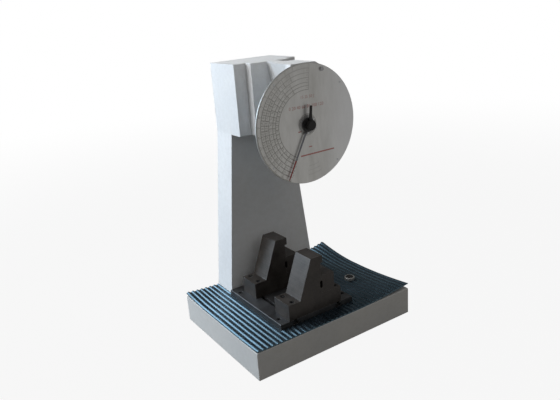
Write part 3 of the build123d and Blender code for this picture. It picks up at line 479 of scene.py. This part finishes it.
# Red rows as (text, x, z, height) and red bars as (x0, z0, x1, z1, width), from the dial's middle
RED_ROWS = (("15 25 50 J", 0.0035, 0.0670, 0.0074), ("0 20 40 60 80 100 120", 0.0, 0.0440, 0.0084))
RED_BARS = (
    (-0.0250, -0.0754, 0.079, -0.0742, 0.0034),
    (0.0005, -0.0560, 0.0105, -0.0560, 0.0026),
    (-0.0285, -0.0148, -0.0190, -0.0145, 0.0026),
)

FAINT_ARC_RADII = (0.104, 0.115, 0.126)
FAINT_ARC_WIDTH = 0.0010
FAINT_ARC_ENDS = (-178.0, -196.0)


def on_dial(radius, angle, lift):
    """Point of the dial, lifted off its face."""
    turn = radians(angle)
    return (radius * sin(turn), DIAL_Y - lift, AXIS_Z + radius * cos(turn))


class Print:
    """Flat print on the dial, gathered into one mesh."""

    def __init__(self, lift):
        self.lift = lift
        self.vertices = []
        self.faces = []

    def quad(self, points):
        """One four-sided patch of print."""
        start = len(self.vertices)
        self.vertices += points
        self.faces.append((start, start + 1, start + 2, start + 3))

    def arc(self, radius, width, start, end, step=1.5):
        """Line along a circle, in straight pieces of about step degrees."""
        count = max(2, round(abs(end - start) / step))
        inner, outer = radius - width / 2, radius + width / 2
        for i in range(count):
            a = start + (end - start) * i / count
            b = start + (end - start) * (i + 1) / count
            self.quad([
                on_dial(inner, a, self.lift),
                on_dial(outer, a, self.lift),
                on_dial(outer, b, self.lift),
                on_dial(inner, b, self.lift),
            ])

    def tick(self, angle, inner, outer, width):
        """Line along a radius, as wide at its outer end as at its inner one."""
        side = degrees(width / 2 / ((inner + outer) / 2))
        outer_side = side * inner / outer
        self.quad([
            on_dial(inner, angle - side, self.lift),
            on_dial(outer, angle - outer_side, self.lift),
            on_dial(outer, angle + outer_side, self.lift),
            on_dial(inner, angle + side, self.lift),
        ])

    def bar(self, x0, z0, x1, z1, width):
        """Straight line between two places, from the dial's middle."""
        run = Vector((x1 - x0, 0, z1 - z0))
        side = Vector((-run.z, 0, run.x)).normalized() * width / 2
        a = Vector((x0, DIAL_Y - self.lift, AXIS_Z + z0))
        b = Vector((x1, DIAL_Y - self.lift, AXIS_Z + z1))
        self.quad([tuple(a - side), tuple(b - side), tuple(b + side), tuple(a + side)])

    def word(self, text, x, z, height, turn=0.0):
        """Digits centred on a place of the dial, turned clockwise."""
        curve = bpy.data.curves.new("digits", "FONT")
        curve.body = text
        curve.size = height * DIGIT_SIZE_TO_HEIGHT
        curve.align_x = "CENTER"
        curve.align_y = "CENTER"
        curve.resolution_u = 2
        holder = bpy.data.objects.new("digits", curve)
        scene.collection.objects.link(holder)
        bpy.context.view_layer.update()
        mesh = bpy.data.meshes.new_from_object(holder)
        start = len(self.vertices)
        c, s = cos(radians(turn)), sin(radians(turn))
        for v in mesh.vertices:
            self.vertices.append((
                x + v.co.x * c + v.co.y * s,
                DIAL_Y - self.lift,
                AXIS_Z + z - v.co.x * s + v.co.y * c,
            ))
        self.faces += [tuple(start + i for i in p.vertices) for p in mesh.polygons]
        bpy.data.objects.remove(holder)
        bpy.data.curves.remove(curve)
        bpy.data.meshes.remove(mesh)

    def number(self, text, radius, angle, height):
        """Digits on a scale, their feet towards the dial's middle."""
        turn = radians(angle)
        self.word(text, radius * sin(turn), radius * cos(turn), height, angle)

    def done(self, name, look):
        """The print as a piece of the scene."""
        return new_mesh(name, self.vertices, self.faces, look)


def energy_angle(share):
    """Dial angle at which this share of the full energy has been taken up."""
    lowest = cos(radians(FULL_SWING))
    return SCALE_TOP - degrees(acos(min(1.0, share * (1.0 - lowest) + lowest)))


def print_degrees(rings, digits):
    """Outer scale of degrees, from the top down."""
    for i in range(FULL_SWING + 1):
        length, width = next((length, width) for every, length, width in DEGREE_TICKS if i % every == 0)
        rings.tick(SCALE_TOP - i, BORDERS[1], BORDERS[1] + length, width)
    for i in range(0, FULL_SWING + 1, DEGREE_NUMBER_EVERY):
        digits.number(str(i), DEGREE_NUMBER_RADIUS, SCALE_TOP - i, DEGREE_NUMBER_HEIGHT)


def print_energies(rings, digits, outer, inner, full, count):
    """One ring of numbered cells, closer together where the energy changes faster."""
    depth = outer - inner
    for i in range(count + 1):
        angle = energy_angle(i / count)
        text = f"{full * i / count:.1f}".rstrip("0").rstrip(".") if i else "0"
        rings.tick(angle, inner, outer, CELL_LINE_WIDTH)
        digits.number(text, (inner + outer) / 2, angle - CELL_NUMBER_BACK, CELL_NUMBER_SHARE * depth)
        if i < count:
            half = energy_angle((i + 0.5) / count)
            rings.tick(half, outer - HALF_TICK_SHARE * depth, outer, HALF_TICK_WIDTH)


def make_scales(line_ink, digit_ink):
    """Five ringed energy scales inside an outer scale of degrees."""
    rings = Print(LINE_LIFT)
    digits = Print(INK_LIFT)
    for radius in BORDERS:
        rings.arc(radius, BORDER_WIDTH, SCALE_FOOT, SCALE_TOP)
    print_degrees(rings, digits)
    for outer, inner, (full, count) in zip(BORDERS[1:], BORDERS[2:], ENERGY_SCALES):
        print_energies(rings, digits, outer, inner, full, count)
    rings.done("dial_lines", line_ink)
    digits.done("dial_digits", digit_ink)


def make_hub_ring(ink):
    """Ring printed round the pointer's bush."""
    ring = Print(INK_LIFT)
    ring.arc(HUB_RING_RADIUS, HUB_RING_WIDTH, 0.0, 360.0, HUB_RING_STEP)
    ring.done("dial_hub_ring", ink)


def make_red_marks(ink):
    """Two rows of plain numbers, the long rule and two short ones."""
    marks = Print(INK_LIFT)
    for text, x, z, height in RED_ROWS:
        marks.word(text, x, z, height)
    for x0, z0, x1, z1, width in RED_BARS:
        marks.bar(x0, z0, x1, z1, width)
    marks.done("dial_red_marks", ink)


def make_faint_arcs(ink):
    """Three faint arcs near the dial's foot."""
    arcs = Print(INK_LIFT)
    for radius in FAINT_ARC_RADII:
        arcs.arc(radius, FAINT_ARC_WIDTH, *FAINT_ARC_ENDS)
    arcs.done("dial_faint_arcs", ink)


# Mat: inside the base's edge, clear of what stands on the base, and just off its top
MAT_INSET = 0.0005
MAT_GAP = 0.001
MAT_LIFT = 0.0002
MAT_HALF_X = round(BASE_HALF_X - MAT_INSET, 6)
MAT_HALF_Y = round(BASE_HALF_Y - MAT_INSET, 6)
MAT_STEPS_X = 432
MAT_STEPS_Y = 48
RIB_COUNT = 36
RIB_PITCH = 2 * BASE_HALF_X / RIB_COUNT
RIB_HEIGHT = 0.0034
SHARP_ANGLE = 65.0

# Corners that have curled up, as (x, y, height, reach)
MAT_CURLS = (
    (BASE_HALF_X, BASE_HALF_Y, 0.020, 0.150),
    (BASE_HALF_X, -BASE_HALF_Y, 0.0135, 0.190),
    (-BASE_HALF_X, BASE_HALF_Y, 0.007, 0.110),
    (-BASE_HALF_X, -BASE_HALF_Y, 0.0025, 0.100),
)
CURL_POWER = 1.7


def cut_out(x0, y0, x1, y1):
    """Hole in the mat round something that stands on the base."""
    return tuple(round(v, 6) for v in (x0 - MAT_GAP, y0 - MAT_GAP, x1 + MAT_GAP, y1 + MAT_GAP))


MAT_HOLES = (
    cut_out(COLUMN_LOW[0], COLUMN_FRONT_Y, COLUMN_HIGH[0], BASE_HALF_Y),
    cut_out(PLATE_LOW[0], PLATE_LOW[1], PLATE_HIGH[0], COLUMN_FRONT_Y - MAT_GAP),
)


def mat_lift(x, y):
    """How far the mat has curled off the base."""
    lift = 0.0
    for corner_x, corner_y, height, reach in MAT_CURLS:
        away = hypot(x - corner_x, y - corner_y) / reach
        if away < 1.0:
            lift += height * (1.0 - away) ** CURL_POWER
    return lift


def rib(x):
    """Height of the mat's waves over their grooves."""
    return RIB_HEIGHT * (0.5 - 0.5 * cos(2 * pi * (x + BASE_HALF_X) / RIB_PITCH))


def in_hole(x, y):
    """True where the mat is cut out."""
    return any(x0 < x < x1 and y0 < y < y1 for x0, y0, x1, y1 in MAT_HOLES)


def grid_lines(half, steps, cuts):
    """Grid from edge to edge of the mat, with the cut-outs' edges among its lines."""
    lines = {round(-half + 2 * half * i / steps, 6) for i in range(steps + 1)}
    return sorted(lines | {min(cut, half) for cut in cuts})


def make_mat(look):
    """Ribbed mat, cut out round the column and the anvil plate, its corners curled up."""
    xs = grid_lines(MAT_HALF_X, MAT_STEPS_X, [x for x0, _, x1, _ in MAT_HOLES for x in (x0, x1)])
    ys = grid_lines(MAT_HALF_Y, MAT_STEPS_Y, [y for _, y0, _, y1 in MAT_HOLES for y in (y0, y1)])
    groove = MAT_THICKNESS - RIB_HEIGHT
    vertices, index = [], {}

    def vertex(i, j, top):
        """Number of a corner of the grid, made the first time it is asked for."""
        key = (i, j, top)
        if key not in index:
            index[key] = len(vertices)
            x, y = xs[i], ys[j]
            z = BASE_TOP + mat_lift(x, y) + MAT_LIFT
            if top:
                z += groove + rib(x)
            vertices.append((x, y, z))
        return index[key]

    filled = {
        (i, j)
        for i in range(len(xs) - 1)
        for j in range(len(ys) - 1)
        if not in_hole((xs[i] + xs[i + 1]) / 2, (ys[j] + ys[j + 1]) / 2)
    }
    faces = []
    for i, j in sorted(filled):
        faces.append((vertex(i, j, 1), vertex(i + 1, j, 1), vertex(i + 1, j + 1, 1), vertex(i, j + 1, 1)))
        faces.append((vertex(i, j, 0), vertex(i, j + 1, 0), vertex(i + 1, j + 1, 0), vertex(i + 1, j, 0)))
        for neighbour, a, b in (
            ((i, j - 1), (i, j), (i + 1, j)),
            ((i + 1, j), (i + 1, j), (i + 1, j + 1)),
            ((i, j + 1), (i + 1, j + 1), (i, j + 1)),
            ((i - 1, j), (i, j + 1), (i, j)),
        ):
            if neighbour not in filled:
                faces.append((vertex(*a, 0), vertex(*b, 0), vertex(*b, 1), vertex(*a, 1)))
    mat = new_mesh("ribbed_mat", vertices, faces, look, smooth=True)
    mat.data.set_sharp_from_angle(angle=radians(SHARP_ANGLE))
    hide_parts("rubber_mat")


# Level: a printed ring on its glass, and the bubble under it as (height, radius)
LEVEL_X = (LEVEL_LOW[0] + LEVEL_HIGH[0]) / 2
LEVEL_Y = (LEVEL_LOW[1] + LEVEL_HIGH[1]) / 2
LEVEL_TOP = LEVEL_HIGH[2]
LEVEL_RING_RADII = (0.0046, 0.0052)
LEVEL_RING_LIFT = 0.00068
LEVEL_RING_CORNERS = 40
BUBBLE_SHIFT = (0.002, 0.0015)
BUBBLE_DEPTH = 0.0036
BUBBLE_PROFILE = ((0.0, 0.0004), (0.0003, 0.0022), (0.0008, 0.0032), (0.0013, 0.0030), (0.0016, 0.0012))
BUBBLE_CORNERS = 24


def make_level_ring(look):
    """Ring on the level's glass, within which the bubble comes to rest."""
    count = LEVEL_RING_CORNERS
    z = LEVEL_TOP + LEVEL_RING_LIFT
    vertices = []
    for radius in LEVEL_RING_RADII:
        vertices += circle(LEVEL_X, LEVEL_Y, radius, count, z)
    new_mesh("level_ring", vertices, band(0, count), look)


def make_bubble(look):
    """Flattened bubble in the level's liquid, a little off its middle."""
    x, y = LEVEL_X + BUBBLE_SHIFT[0], LEVEL_Y + BUBBLE_SHIFT[1]
    z = LEVEL_TOP - BUBBLE_DEPTH
    count = BUBBLE_CORNERS
    last = (len(BUBBLE_PROFILE) - 1) * count
    vertices = []
    for up, radius in BUBBLE_PROFILE:
        vertices += circle(x, y, radius, count, z + up)
    faces = []
    for start in range(0, last, count):
        faces += band(start, count)
    faces.append(tuple(reversed(range(count))))
    faces.append(tuple(range(last, last + count)))
    new_mesh("level_bubble", vertices, faces, look, smooth=True)


# Release spring: the plunger's travel shortens it against the floor of the arm's chamber
PLUNGER_X, PLUNGER_Z = 0.05021, 0.69847
SPRING_LOW, SPRING_HIGH = corners("release_spring")
SPRING_FLOOR_Y = SPRING_LOW[1]
SPRING_LENGTH = SPRING_HIGH[1] - SPRING_FLOOR_Y
COIL_RADIUS, WIRE_RADIUS, COIL_TURNS = 0.0035, 0.0002, 5
COIL_STEPS_A_TURN, WIRE_CORNERS = 24, 6


def make_release_coil(look):
    """Coil spring of round wire round the plunger, over the CAD spring's length, in place of the CAD
    spring.
    """
    steps = COIL_STEPS_A_TURN * COIL_TURNS
    vertices, faces = [], []
    for i in range(steps + 1):
        turn = 2 * pi * i / COIL_STEPS_A_TURN
        middle = SPRING_FLOOR_Y + WIRE_RADIUS + (SPRING_LENGTH - 2 * WIRE_RADIUS) * i / steps
        for k in range(WIRE_CORNERS):
            side = 2 * pi * k / WIRE_CORNERS
            radius = COIL_RADIUS + WIRE_RADIUS * cos(side)
            vertices.append((
                PLUNGER_X + radius * cos(turn),
                middle + WIRE_RADIUS * sin(side),
                PLUNGER_Z + radius * sin(turn),
            ))
    for i in range(steps):
        faces += band(i * WIRE_CORNERS, WIRE_CORNERS)
    faces.append(tuple(range(WIRE_CORNERS)))
    faces.append(tuple(steps * WIRE_CORNERS + k for k in reversed(range(WIRE_CORNERS))))
    coil = new_mesh("release_coil", vertices, faces, look, smooth=True)
    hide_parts("release_spring")
    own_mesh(coil)


# Floor and background: white to the camera, dimmer in mirrors but for a pale patch like a window
FLOOR_SIZE = 60.0
FLOOR_COLOR = (0.10, 0.09, 0.08, 1.0)
FLOOR_WHITE_NEAR, FLOOR_WHITE_FAR = 0.92, 1.0
FLOOR_FADE = (1.0, 4.0)
FLOOR_MIRRORED = 0.42
WHITE = (1.0, 1.0, 1.0, 1.0)
AMBIENT_COLOR = (1.0, 0.99, 0.97, 1.0)
AMBIENT_STRENGTH = 0.25
WINDOW_SIDE = (-0.52, 0.80, 0.36)
WINDOW_EDGE = (0.82, 0.97)
ROOM_MIRRORED, WINDOW_MIRRORED = 0.13, 1.0


def ray_mix(tree, mirrored=1.0):
    """1 for camera and transmission rays, and the mirrored share for glossy rays."""
    path = add_node(tree, "ShaderNodeLightPath")
    share = add_node(tree, "ShaderNodeMath", {1: mirrored}, operation="MULTIPLY")
    tree.links.new(path.outputs["Is Glossy Ray"], share.inputs[0])
    total = path.outputs["Is Camera Ray"]
    for other in (share.outputs[0], path.outputs["Is Transmission Ray"]):
        node = add_node(tree, "ShaderNodeMath", operation="MAXIMUM")
        tree.links.new(total, node.inputs[0])
        tree.links.new(other, node.inputs[1])
        total = node.outputs[0]
    return total


def join_shaders(tree, factor, first, second, output):
    """Two shaders, mixed by a factor, on the tree's output."""
    mix = add_node(tree, "ShaderNodeMixShader")
    tree.links.new(factor, mix.inputs["Fac"])
    tree.links.new(first.outputs[0], mix.inputs[1])
    tree.links.new(second.outputs[0], mix.inputs[2])
    tree.links.new(mix.outputs[0], output.inputs["Surface"])


def smooth_range(tree, value, start, end, low, high):
    """The value's stretch from start to end, mapped smoothly to low and high."""
    ends = {"From Min": start, "From Max": end, "To Min": low, "To Max": high}
    node = add_node(tree, "ShaderNodeMapRange", ends, interpolation_type="SMOOTHSTEP")
    tree.links.new(value, node.inputs["Value"])
    return node.outputs["Result"]


def floor_look():
    """Pale paper that fades to white, and keeps the object's shadow near it."""
    mat = bpy.data.materials.new("floor_paper")
    mat.use_nodes = True
    tree = mat.node_tree
    tree.nodes.clear()
    place = add_node(tree, "ShaderNodeTexCoord")
    length = add_node(tree, "ShaderNodeVectorMath", operation="LENGTH")
    tree.links.new(place.outputs["Object"], length.inputs[0])
    fade = smooth_range(tree, length.outputs["Value"], *FLOOR_FADE, FLOOR_WHITE_NEAR, FLOOR_WHITE_FAR)
    diffuse = add_node(tree, "ShaderNodeBsdfDiffuse", {"Color": FLOOR_COLOR})
    glow = add_node(tree, "ShaderNodeEmission", {"Color": WHITE, "Strength": 1.0})
    amount = add_node(tree, "ShaderNodeMath", operation="MULTIPLY")
    tree.links.new(ray_mix(tree, FLOOR_MIRRORED), amount.inputs[0])
    tree.links.new(fade, amount.inputs[1])
    join_shaders(tree, amount.outputs[0], diffuse, glow, add_node(tree, "ShaderNodeOutputMaterial"))
    return mat


def make_floor():
    """Wide floor at the height on which the base stands."""
    size = FLOOR_SIZE
    places = [(-size, -size, 0), (size, -size, 0), (size, size, 0), (-size, size, 0)]
    mesh = bpy.data.meshes.new("floor")
    mesh.from_pydata(places, [], [(0, 1, 2, 3)])
    floor = bpy.data.objects.new("floor", mesh)
    scene.collection.objects.link(floor)
    mesh.materials.append(floor_look())


def make_world():
    """Soft ambient light, behind it a background that is white to the camera."""
    world = bpy.data.worlds.new("studio")
    world.use_nodes = True
    scene.world = world
    tree = world.node_tree
    tree.nodes.clear()
    ambient = add_node(tree, "ShaderNodeBackground", {"Color": AMBIENT_COLOR, "Strength": AMBIENT_STRENGTH})
    seen = add_node(tree, "ShaderNodeBackground", {"Color": WHITE})
    room = add_node(tree, "ShaderNodeTexCoord")
    window = {1: Vector(WINDOW_SIDE).normalized()}
    facing = add_node(tree, "ShaderNodeVectorMath", window, operation="DOT_PRODUCT")
    tree.links.new(room.outputs["Generated"], facing.inputs[0])
    mirrored = smooth_range(tree, facing.outputs["Value"], *WINDOW_EDGE, ROOM_MIRRORED, WINDOW_MIRRORED)
    path = add_node(tree, "ShaderNodeLightPath")
    level = add_node(tree, "ShaderNodeMath", operation="MAXIMUM")
    tree.links.new(path.outputs["Is Camera Ray"], level.inputs[0])
    tree.links.new(mirrored, level.inputs[1])
    tree.links.new(level.outputs[0], seen.inputs["Strength"])
    join_shaders(tree, ray_mix(tree), ambient, seen, add_node(tree, "ShaderNodeOutputWorld"))


# Lamps: name, place, what it points at, width and height, power in watts, colour
LAMPS = (
    ("window", (-1.7, 0.65, 1.45), (0.0, 0.0, 0.35), (1.0, 1.0), 23.2, (0.94, 0.96, 0.99)),
    ("rear_window", (-1.45, 2.2, 1.05), (-0.1, 0.0, 0.1), (1.7, 1.5), 54.0, (0.64, 0.82, 1.0)),
    ("skylight", (-0.2, 0.5, 2.6), (-0.1, 0.15, 0.7), (1.2, 1.2), 11.0, (1.0, 0.99, 0.97)),
    ("fill", (0.5, -1.0, 1.35), (0.0, 0.0, 0.6), (0.8, 0.8), 1.5, (1.0, 0.98, 0.96)),
)


def make_lamp(name, place, target, size, power, color):
    """Soft rectangular lamp."""
    data = bpy.data.lights.new(name, "AREA")
    data.shape = "RECTANGLE"
    data.size, data.size_y = size
    data.energy = power
    data.color = color
    lamp = bpy.data.objects.new(name, data)
    lamp.location = place
    lamp.rotation_euler = (Vector(target) - Vector(place)).to_track_quat("-Z", "Y").to_euler()
    scene.collection.objects.link(lamp)


make_camera()
paint = paint_look("paint_enamel")
# The base's enamel is painted darker and warmer: painted shade for its dimmer, warmer-lit faces.
base_shaded_paint = paint_look("paint_handled", (0.80, 0.79, 0.765))
anvil_steel = ground_steel(
    "anvil_steel", (0.027, 0.023, 0.020), (0.056, 0.049, 0.044), 0.37, (420.0, 14.0, 420.0),
    metallic=0.25, specular=0.34,
)
plate_steel = ground_steel(
    "plate_steel", (0.045, 0.045, 0.047), (0.080, 0.080, 0.082), 0.48, (14.0, 420.0, 420.0),
)
black_screw = ground_steel(
    "oxide_screw", (0.020, 0.020, 0.021), (0.035, 0.035, 0.036), 0.4, (300.0, 300.0, 300.0),
)
bright = turned_steel("polished_steel", (0.66, 0.66, 0.67), 0.2)
zinc = turned_steel("bright_zinc", (0.62, 0.63, 0.64), 0.28)
machined = turned_steel("machined_steel", (0.46, 0.46, 0.47), 0.36)
satin = turned_steel("satin_aluminium", (0.40, 0.40, 0.39), 0.46, 0.7)
ink = print_look("ink_dark", (0.16, 0.15, 0.13), (0.30, 0.29, 0.26))
pale_ink = print_look("ink_pale", (0.27, 0.26, 0.235), (0.42, 0.41, 0.385))
faint_ink = print_look("ink_faint", (0.46, 0.45, 0.43), (0.56, 0.55, 0.53))
red_ink = print_look("ink_red", (0.42, 0.13, 0.115), (0.48, 0.30, 0.28))
black_ink = print_look("ink_black", (0.05, 0.048, 0.045), (0.12, 0.115, 0.11))

wear(paint, "column_housing", "rear_cover", "dial_arm")
wear(base_shaded_paint, "base")
wear(anvil_steel, "front_anvil_block", "rear_anvil_block", "front_specimen_rest", "rear_specimen_rest")
wear(plate_steel, "anvil_plate", "front_t_nuts", "rear_t_nuts")
wear(
    black_screw,
    "column_bolts", "arm_screws", "bearing_cap_screws", "anvil_plate_screws", "rod_clamp_screw",
    "carrier_set_screw", "front_rest_screws", "front_clamp_screws", "rear_rest_screws", "rear_clamp_screws",
)
wear(
    bright,
    "main_shaft", "dial_spindle", "shaft_circlip", "carrier_key", "bearing_outer_rings", "bearing_rollers",
    "bearing_inner_rings", "release_plunger", "pointer_retaining_ring", "driver_screw",
)
wear(zinc, "cover_screws", "dial_rivets", "pointer_bush_screws")
wear(machined, "release_knob", "pendulum_carrier", "front_bearing_cap", "head_bearing_cap")
wear(satin, "dial_backing", "pointer_bush", "level_body")
wear(dial_look(), "dial_face")
wear(enamel_look(), "pointer_driver", "front_cap")
wear(needle_look(), "pointer")
wear(brass_look(), "friction_washer", "plunger_bush")
wear(liquid_look(), "level_liquid")
wear(glass_look(), "level_glass")

make_scales(pale_ink, ink)
make_hub_ring(pale_ink)
make_red_marks(red_ink)
make_faint_arcs(faint_ink)
make_mat(rubber_look())
make_level_ring(black_ink)
make_bubble(glass_look())
make_release_coil(bright)
make_floor()
make_world()
for lamp in LAMPS:
    make_lamp(*lamp)
